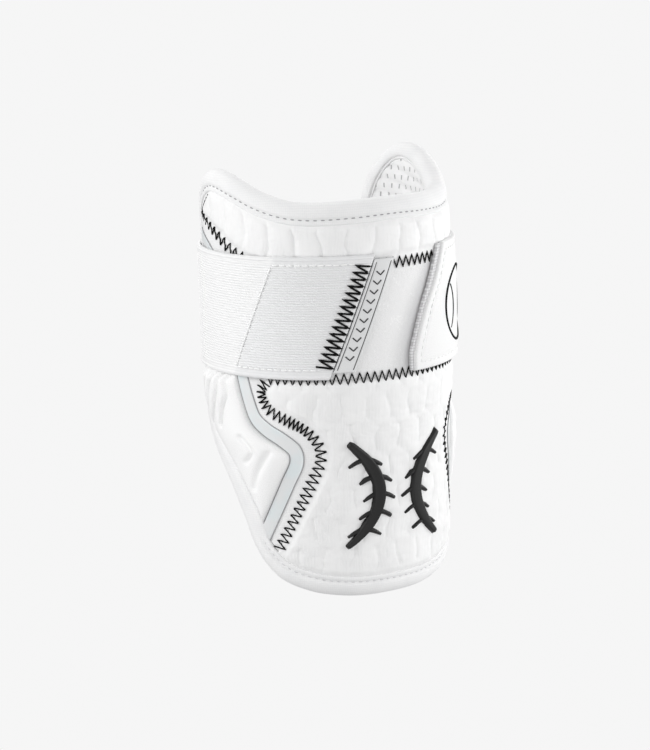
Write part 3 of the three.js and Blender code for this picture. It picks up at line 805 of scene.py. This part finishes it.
lower_right = border_line(LOWER_BORDER, LOWER_SEAM, -(BOTTOM_DROP + LOWER_SEAM))
lower_right = lower_right[is_inside(lower_right, inset)]
upper_right = border_line(UPPER_BORDER, UPPER_SEAM, TOP_RISE - UPPER_SEAM)


def rim(distance, radius):
    """How far a rounded rim has risen, from 0 at the border to 1."""
    return np.sqrt(1 - (1 - np.clip(distance / radius, 0, 1)) ** 2)


corner_x, corner_y = lower_right[-1]
lower_foot = lower_edge[(np.abs(lower_edge[:, 0]) < corner_x) & (lower_edge[:, 1] < corner_y + 1)]
lower_ring = np.vstack([mirrored(lower_right), lower_foot, lower_right[::-1], mirrored(lower_right[:1])])
corner_x = UPPER_CORNER_TOP * HALF_GIRTH
upper_head = upper_edge[(np.abs(upper_edge[:, 0]) < corner_x) & (upper_edge[:, 1] > 0)]
upper_foot = np.vstack([mirrored(upper_right)[::-1], upper_right])
upper_ring = np.vstack([upper_foot, upper_head[::-1], upper_foot[:1]])


def panel_lift(points, ring, seam, relief, puff):
    """The panel's outer face: rounded rim, pressed flat along the zigzag seam, creased and puffed inside."""
    edge = distance_to(points, ring)
    from_seam = np.minimum(distance_to(points, seam), distance_to(points, mirrored(seam)))
    sewn = smoothstep(from_seam, 2.6, 5.6) * smoothstep(edge, 0.3, 2.6)
    under = smoothstep(np.abs(points[..., 1]), 24.6, 27.5)
    rise = GAP + 0.1 + 0.75 * rim(edge, 1.1)
    return rise + sewn * (0.3 * relief + under * (puff + 0.1))


def panel(name, node, shape, ring, seam, size, relief_of, height):
    """A stitched panel. shape gives its grid for shares across and up, and size is its width and height."""
    us, vs = dense_shares(size[0], 0.5), dense_shares(size[1], 0.9)
    grid = shape(us, vs)
    relief = relief_of(grid)
    puff = height * relief
    few_us, few_vs = (even(round(length / 1.2)) for length in size)
    coarse = shape(few_us, few_vs)
    pinned = (distance_to(coarse, ring) < 2.2) | (relief_of(coarse) < 0.42)
    rise = inflate(coarse, 1.2, pinned)
    puff = 0.35 * puff + refined(rise, few_us, few_vs, us, vs)
    lift = panel_lift(grid, ring, seam, relief, puff)
    dress(sheet_mesh(name, grid, GAP, lift, panel_cloth), [node])


def lower_shape(us, vs):
    border = lower_right[::-1]
    edge = np.vstack([mirrored(border[:1]), lower_foot, border[:1]])
    top = [mirrored(border[-1]), border[-1]]
    return coons(edge, top, mirrored(border), border, us, vs)


def upper_shape(us, vs):
    return ruled(upper_foot, upper_head, us, vs)


panel("lower_panel_cloth", "lower_panel", lower_shape, lower_ring, lower_right, (118, 105),
      lambda points: cell_relief(points, 10.6, 13.5, 0.4, 4), 0.8)
panel("upper_panel_cloth", "upper_panel", upper_shape, upper_ring, upper_right, (200, 32),
      lambda points: cell_relief(points - [0, 40], 11.4, 44, 2.1, 9, shift=0.0, cross=0.3), 1.5)


def loop_cloth():
    us = dense_shares(2 * LOOP_HALF, 1.5)
    vs = dense_shares(48, 1.5)
    bottom = np.array([(-LOOP_HALF, LOWER_SEAM + GAP), (LOOP_HALF, LOWER_SEAM + GAP)])
    grid = ruled(bottom, bottom + [0, UPPER_SEAM - LOWER_SEAM - 2 * GAP], us, vs)
    wave = 0.12 * np.sin(grid[..., 0] / 5 + np.sin(grid[..., 1] / 7)) * np.sin(grid[..., 1] / 6)
    dress(sheet_mesh("loop_cloth", grid, GAP, 1.15 + wave, pile), ["loop_panel"])


loop_cloth()

# Trims and wings
trim_centre = smooth_line(heights(TRIM))
trim_n = normals(trim_centre)


def inside_only(points):
    return points[is_inside(points, inset)]


trim_outer = inside_only(trim_centre + trim_n * TRIM_HALF)
trim_inner = inside_only(trim_centre - trim_n * TRIM_HALF)


def trims():
    us = even(181)
    vs = dense_shares(2 * TRIM_HALF, 1.0, 0.8)
    grid = ruled(trim_outer, trim_inner, us, vs)[::-1]
    edge = np.minimum(vs, 1 - vs)[:, None] * 2 * TRIM_HALF
    lift = GAP + 0.1 + 0.62 * rim(edge, 0.9)
    for side, place, use in both_sides(grid, lift):
        dress(sheet_mesh("trim_film_" + side, place, GAP, use, silver), ["trim_" + side])
        sign = 1 if side == "right" else -1
        edges = [line_at(line, even(240)) * [sign, 1] for line in (trim_outer, trim_inner)]
        threads = [(line, level(0.68)(line), 0.27) for line in edges]
        dress(strands("trim_edge_" + side, threads, grey_thread))


trims()


# Moulded grooves of the right wing: pattern points, width and depth
WING_GROOVES = [
    ([(76.5, -25), (79.3, -30), (78.2, -36), (80.3, -43), (81, -50)], 0.85, 2.6),
    ([(81.5, -25), (84, -30), (84.6, -36), (86.4, -43), (89.5, -52)], 0.9, 2.8),
    ([(87, -25), (89, -30), (91, -36), (93, -42), (96, -48)], 0.9, 2.5),
    ([(93, -25), (95, -30), (97, -35), (99.5, -40)], 0.85, 2.0),
    ([(69.5, -53.8), (66.5, -56.6), (63.6, -59.9), (64.4, -62.3), (66.6, -64.8)], 1.0, 1.5),
    ([(55.9, -59.8), (58.9, -65.1), (61.5, -70.6), (63, -76)], 1.5, 1.7),
]


def wings():
    trim_side = inside_only(trim_outer + normals(trim_outer) * GAP)
    near = [int(np.argmin(((inset - p) ** 2).sum(1))) for p in (trim_side[0], trim_side[-1])]
    edge = (loop + loop_in * WING_INSET)[near[0] + 3 : near[1] - 2]
    us = np.linspace(0.01, 0.99, 210)
    vs = dense_shares(30, 0.75)
    grid = ruled(edge, trim_side, us, vs)[::-1]
    gone = distance_to(grid, trim_side)
    y = grid[..., 1]
    beyond = np.abs(y) - STRAP_WIDTH / 2
    swell = smoothstep(beyond, 0.8, 5.5)
    border = distance_to(grid, np.vstack([edge, trim_side[::-1], edge[:1]]))
    crown = np.sin(np.pi * us[None]) ** 0.5 * np.sin(np.pi * vs[::-1, None]) ** 0.5
    grooves = np.zeros_like(y)
    for line, width, deep in WING_GROOVES:
        grooves += deep * np.exp(-((distance_to(grid, smooth_line(line)) / width) ** 2))
    waves = 0.25 * np.sin(y / 4.7 + gone / 6) * smoothstep(-y, 28, 34) * smoothstep(y, -66, -52)
    lift = GAP + 1.1 * rim(border, 1.2) + swell * crown * 3.9 - smoothstep(beyond, 0.3, 3) * grooves * crown
    lift = np.maximum(lift + swell * crown * waves, GAP + 0.25)
    for side, place, use in both_sides(grid, lift):
        dress(sheet_mesh("wing_pad_" + side, place, GAP, use, wing_cloth), ["wing_" + side])


wings()


# Strap, tab, hook patch and label
def lean(height):
    """How far the strap's front end and the label lean over at a height."""
    return height * LABEL_LEAN


def strap_lift(points):
    """The strap's inner face: over the tab's back end, and sunk to the arm across the open back."""
    past = points[..., 0] - (TAB_BACK + GAP)
    raised = (TAB_OUT + GAP - STRAP_IN) * (1 - smoothstep(past, 0, 14))
    half = FULL_TURN / 2 - HALF_GIRTH - GAP
    beyond = half - np.abs(points[..., 0] - FULL_TURN / 2)
    return STRAP_IN + raised - 8 * smoothstep(beyond, 0, half)


def strap_surface(points):
    """The strap's outer face: lengthwise ribs, flat selvedges, and a doubled front part that is sewn down."""
    x, y = points[..., 0], points[..., 1]
    low = STRAP_HALF + STRAP_FLARE * (x - STRAP_BACK) / (STRAP_FRONT - STRAP_BACK)
    ribs = 0.5 + 0.5 * np.cos(2 * np.pi * y / RIB_PITCH)
    selvedge = smoothstep(np.abs(y), STRAP_HALF - 3.1, STRAP_HALF - 2.6)
    share = (y - FOLD_FOOT[1]) / (FOLD_TOP[1] - FOLD_FOOT[1])
    fold_x = FOLD_FOOT[0] + share * (FOLD_TOP[0] - FOLD_FOOT[0])
    doubled = smoothstep(x - fold_x, -0.8, 0.8)
    side = np.minimum(STRAP_HALF - y, y + low)
    welt = np.exp(-(((side - 1.2) / 0.45) ** 2))
    ends = np.minimum(x - STRAP_BACK, STRAP_FRONT + lean(y) - x)
    edge = np.clip(np.minimum(side, ends), 0, None)
    body = 1.15 + 0.26 * ribs * (1 - selvedge) + 0.1 * selvedge + 0.32 * doubled + 0.3 * welt
    return strap_lift(points) + 0.15 + body * rim(edge, 0.7)


def strap():
    low = STRAP_HALF + STRAP_FLARE
    back = [(STRAP_BACK, -STRAP_HALF), (STRAP_BACK, STRAP_HALF)]
    front = [(STRAP_FRONT - lean(low), -low), (STRAP_FRONT + lean(STRAP_HALF), STRAP_HALF)]
    grid = between(back, front, dense_shares(237, 2.2, 1.2), dense_shares(2 * STRAP_HALF, 0.17, 0.8))
    thing = sheet_mesh("elastic_strap", grid, strap_lift(grid), strap_surface(grid), elastic)
    dress(thing, ["strap"])


def tab_front(shift, width):
    """The tab's front edge, moved along by a shift."""
    return smooth_line([(TAB_FRONT_X + l * TAB_LEAN + shift, u * width / 2) for l, u in TAB_FRONT])


def tab_piece():
    front = tab_front(0, TAB_WIDTH)
    back = [(TAB_BACK, -TAB_WIDTH / 2), (TAB_BACK, TAB_WIDTH / 2)]
    grid = between(front, back, dense_shares(72, 0.9, 1.2), dense_shares(TAB_WIDTH, 0.9, 1.2))
    edge = distance_to(grid, np.vstack([front, back[::-1], front[:1]]))
    margin = np.exp(-(((edge - 3.4) / 0.6) ** 2))
    x, y = grid[..., 0], grid[..., 1]
    soft = 0.12 * np.sin(x / 6.3 + 0.8 * np.sin(y / 8)) * np.sin(y / 7.1 + 1)
    lift = TAB_LIFT + 0.15 + 1.15 * rim(edge, 0.9) - 0.3 * margin + soft * smoothstep(edge, 3, 8)
    foot = TAB_LIFT - 1.5 * smoothstep(np.abs(y), 25.0, 26.6)
    thing = sheet_mesh("tab_cloth", grid, foot, np.minimum(lift, TAB_OUT), tab_cloth)
    dress(thing, ["strap_tab"])
    stitch_y, stitch_back = 23.3, 82
    seam_line = np.vstack([
        line_at([(stitch_back, -stitch_y), (front[0, 0] + 3.4, -stitch_y)], even(60)),
        line_at(front + [3.6, 0], np.linspace(0.07, 0.93, 60)),
        line_at([(front[-1, 0] + 3.6, stitch_y), (stitch_back, stitch_y)], even(60)),
    ])
    stitches = dashes(seam_line, 3.0, 2.1, 0.26, level(TAB_STITCH_LIFT))
    dress(strands("tab_stitches", stitches, white_thread))
    # A ball's outline with its two curved seams, as a raised print
    middle = np.array([49 * MM_PER_DEGREE, -2.5])
    a = np.linspace(0, 2 * np.pi, 121)
    ring_line = middle + 16.5 * np.stack([np.cos(a), np.sin(a)], 1)
    paths = [(ring_line, level(TAB_PRINT_LIFT)(ring_line), 0.62)]
    for sign in (-1, 1):
        b = np.radians(np.linspace(-40, 40, 50))
        centre = middle + [sign * 22.5, 0]
        arc = centre + 15 * np.stack([-sign * np.cos(b), np.sin(b)], 1)
        paths.append((arc, level(TAB_PRINT_LIFT)(arc), 0.4))
    dress(strands("tab_ball_ring", paths, black_thread, sides=8))


def hook_piece():
    front = tab_front(-1.4, HOOK_WIDTH)
    front[:, 0] -= 1.5 * smoothstep(front[:, 1], -8, 22)
    back_x = front[0, 0] + HOOK_LENGTH
    back = [(back_x, -HOOK_WIDTH / 2), (back_x, HOOK_WIDTH / 2)]
    grid = between(front, back, dense_shares(HOOK_LENGTH, 1.2), dense_shares(52, 1.2))
    dress(sheet_mesh("hook_tape", grid, 1.5, TAB_LIFT + 0.05, hooks), ["hook_patch"])


def label_piece():
    half_w, half_l = LABEL_HALF_WIDTH, LABEL_HALF_LENGTH
    us, vs = dense_shares(2 * half_w, 0.4, 0.8), dense_shares(2 * half_l, 0.8, 0.8)
    foot_x = LABEL_X - lean(half_l)
    bottom = np.array([(foot_x - half_w, -half_l), (foot_x + half_w, -half_l)])
    grid = ruled(bottom, bottom + [2 * lean(half_l), 2 * half_l], us, vs)
    x = (grid[..., 0] - LABEL_X - lean(grid[..., 1])) * math.cos(math.atan(LABEL_LEAN))
    edge = np.minimum(4.1 - np.abs(x), half_l - np.abs(grid[..., 1]))
    groove = smoothstep(edge, 0.75, 0.95) * (1 - smoothstep(edge, 1.25, 1.45))
    lift = STRAP_IN + 1.45 + 0.35 * rim(edge, 0.4) - 0.3 * groove
    dress(sheet_mesh("label_bar", grid, STRAP_IN, lift, label_silver), ["strap_label"])
    marks = []
    for side in (-1, 1):
        y = np.linspace(-half_l + 1.1, half_l - 1.1, 30)
        marks.append((np.stack([LABEL_X + lean(y) + side * 3.25, y], 1), np.full(30, 3.5), 0.2))
    for y in range(-18, 22, 4):
        chevron = np.array([(-1.75, 0.95), (0, -0.75), (1.75, 0.95)]) + [LABEL_X + lean(y), y]
        marks.append((line_at(chevron, even(9)), np.full(9, 3.62), 0.36))
    dress(strands("label_marks", marks, dark_print))


strap()
tab_piece()
hook_piece()
label_piece()


# Threads
def panel_top(ring):
    """The lift of a zigzag along a panel's border: on the panel inside the ring and lower outside it."""
    def top(points):
        edge = distance_to(points, ring) * np.where(is_inside(points, ring[:-1]), 1, -1)
        return 0.5 + 0.65 * smoothstep(edge, -0.6, 0.9)

    return top


lower_top, upper_top = panel_top(lower_ring), panel_top(upper_ring)
seams = []
upper_corner = np.vstack([upper_right[-1:], upper_head[-1:] + [0, -2]])
for side in (1, -1):
    seams.append(zigzag(lower_right[10:-6] * [side, 1], 3.3, 2.8, 0.32, lower_top, tight=(0.06, 0.3)))
    seams.append(zigzag(upper_right[20:] * [side, 1], 4.1, 3.1, 0.32, upper_top, tight=(0.95,)))
    seams.append(zigzag(upper_corner * [side, 1], 2.8, 0.7, 0.26, upper_top))
for height, width in ((LOWER_SEAM + 0.2, 2.5), (UPPER_SEAM, 2.4)):
    line = [(-LOOP_HALF, height), (LOOP_HALF, height)]
    seams.append(zigzag(line, 3.3, width, 0.3, level(1.25)))
dress(strands("panel_zigzags", seams, black_thread))

bold = np.array([(-16 * MM_PER_DEGREE, 22.3), (-35 * MM_PER_DEGREE, -22.2)]) + [FULL_TURN, 0]
bold_thread = zigzag(bold, 3.1, 3.5, 0.44, strap_surface)
dress(strands("strap_zigzag", [bold_thread], black_thread))

strap_rows = dashes(np.array([FOLD_TOP, FOLD_FOOT]) + [0.5, 0], 2.9, 2.5, 0.38, strap_surface, sink=0.1)
for start_turn, end_turn, height in ((-57, -20, 22.6), (-77, -38, -22.6)):
    row = [(FULL_TURN + turn * MM_PER_DEGREE, height) for turn in (start_turn, end_turn)]
    strap_rows += dashes(row, 2.9, 2.4, 0.36, strap_surface, sink=0.15)
dress(strands("strap_stitches", strap_rows, white_thread))


# Raised emblem: a ball's two curved seams, each with five stitches
EMBLEM_X = 9
EMBLEM_BOW = 14
EMBLEM_Y = -79
EMBLEM_LENGTH = 47
EMBLEM_IN = 1.3
EMBLEM_BEVEL = 0.75
EMBLEM_STITCHES = 5


def emblem_point(share):
    """A point of the right seam, from its foot to its top."""
    x = EMBLEM_X + EMBLEM_BOW * (2 * share - 1) ** 2
    return np.stack([x, EMBLEM_Y + (share - 0.5) * EMBLEM_LENGTH], -1)


def stroke(line, halves, height, sign):
    """A bevelled ridge along a line, as wide as halves on either side."""
    across = np.array([-1, -0.9, -0.72, -0.55, -0.3, 0, 0.3, 0.55, 0.72, 0.9, 1])
    grid = line[None] + normals(line)[None] * halves[None, :, None] * across[:, None, None]
    run = np.concatenate([[0], np.cumsum(np.hypot(*np.diff(line, axis=0).T))])
    ends = np.minimum(run, run[-1] - run)
    inside = np.minimum(halves[None] * (1 - np.abs(across))[:, None], ends[None])
    crown = 1 - 0.12 * np.abs(across)[:, None] ** 2
    rise = np.clip(inside / EMBLEM_BEVEL, 0, 1) * crown
    if sign < 0:
        grid, rise = mirrored(grid)[:, ::-1], rise[:, ::-1]
    return sheet_parts(grid[::-1], EMBLEM_IN, EMBLEM_IN + 0.35 + (height - 0.35) * rise[::-1])


def emblem(side, sign):
    shares = even(70)
    width = 3.2 * (0.4 + 0.6 * np.sin(np.pi * shares) ** 0.6)
    parts = [stroke(emblem_point(shares), width, 2.3, sign)]
    for k in range(1, EMBLEM_STITCHES + 1):
        middle = emblem_point(np.array(k / (EMBLEM_STITCHES + 1)))
        bend = middle + np.array([(-7.5, -3.2), (-3.4, -0.8), (0, 0), (3.4, -0.8), (7.5, -3.2)])
        line = line_at(smooth_line(bend), even(36))
        taper = 1.4 * (0.55 + 0.45 * np.sin(np.pi * even(36)) ** 0.7)
        parts.append(stroke(line, taper, 1.75, sign))
    dress(joined_mesh("emblem_" + side, parts, rubber), ["emblem_seam_" + side])


emblem("right", 1)
emblem("left", -1)


def direction(azimuth, elevation):
    """The unit vector towards a place seen from the origin, with azimuth 0 in front."""
    a, e = math.radians(azimuth), math.radians(elevation)
    return Vector((math.sin(a) * math.cos(e), -math.cos(a) * math.cos(e), math.sin(e)))


# Camera: the photograph's angle, with the origin at its place in the frame, in pixels
AZIMUTH, ELEVATION, ROLL = -34, 9.65, math.radians(1.4)
DISTANCE, PER_METRE = 1.3, 2249
FRAME_WIDTH, FRAME_HEIGHT = 650, 750
ORIGIN_X, ORIGIN_Y = 327.3, 296.3
back = direction(AZIMUTH, ELEVATION)
across = direction(AZIMUTH + 90, 0)
up = back.cross(across)
cam_x = across * math.cos(ROLL) - up * math.sin(ROLL)
cam_y = across * math.sin(ROLL) + up * math.cos(ROLL)
camera = new_object("camera", bpy.data.cameras.new("camera"))
camera.data.sensor_width = 36
camera.data.lens = camera.data.sensor_width * PER_METRE * DISTANCE / FRAME_HEIGHT
camera.location = back * DISTANCE
target = (cam_x * (FRAME_WIDTH / 2 - ORIGIN_X) - cam_y * (FRAME_HEIGHT / 2 - ORIGIN_Y)) / PER_METRE
look = (camera.location - target).normalized()
side = cam_y.cross(look).normalized()
turn = Matrix((side, look.cross(side), look)).transposed()
camera.rotation_euler = turn.to_euler()
bpy.context.scene.camera = camera


# Lights: large ones at both sides, behind the right side, above, in front and below
def area_light(name, azimuth, elevation, distance, size, power):
    light = bpy.data.lights.new(name, "AREA")
    light.energy = power
    light.size = size
    thing = new_object(name, light)
    way = direction(azimuth, elevation)
    thing.location = way * distance + Vector((0, 0, -0.03))
    thing.rotation_euler = way.to_track_quat("Z", "Y").to_euler()


area_light("light_left", -108, 22, 0.9, 0.6, 3.85)
area_light("light_right", 48, 8, 0.9, 0.5, 3.4)
area_light("light_rim", 84, 8, 0.9, 0.5, 2.5)
area_light("light_top", 150, 62, 0.9, 0.6, 2.0)
area_light("light_front", -66, 30, 1.2, 0.5, 2.4)
area_light("light_low", -20, -30, 1.0, 0.6, 1.9)

# The surround is paler where the camera sees it than where it lights the object
PALE = (0.92, 0.92, 0.92, 1)
world = bpy.data.worlds.new("surround")
bpy.context.scene.world = world
world.use_nodes = True
w = world.node_tree
seen = w.nodes.new("ShaderNodeLightPath")
pick = w.nodes.new("ShaderNodeMix")
pick.data_type = "RGBA"
pick.inputs[6].default_value = (0.52, 0.52, 0.52, 1)
pick.inputs[7].default_value = PALE
w.links.new(seen.outputs["Is Camera Ray"], pick.inputs[0])
w.links.new(pick.outputs[2], w.nodes["Background"].inputs["Color"])

# Floor: as pale as the surround, and without a shadow
FLOOR_Z = -0.2
corners = [(x, y, FLOOR_Z) for x, y in ((-6, -6), (6, -6), (6, 6), (-6, 6))]
floor_mesh = bpy.data.meshes.new("floor")
floor_mesh.from_pydata(corners, [], [(0, 1, 2, 3)])
floor = new_object("floor", floor_mesh)
pale = bpy.data.materials.new("pale_floor")
pale.use_nodes = True
flat = {"Base Color": (0, 0, 0, 1), "Specular IOR Level": 0, "Emission Color": PALE, "Emission Strength": 1}
for key, value in flat.items():
    pale.node_tree.nodes["Principled BSDF"].inputs[key].default_value = value
floor_mesh.materials.append(pale)
floor.visible_diffuse = False
floor.visible_glossy = False
floor.visible_shadow = False

bpy.context.scene.view_settings.view_transform = "Standard"
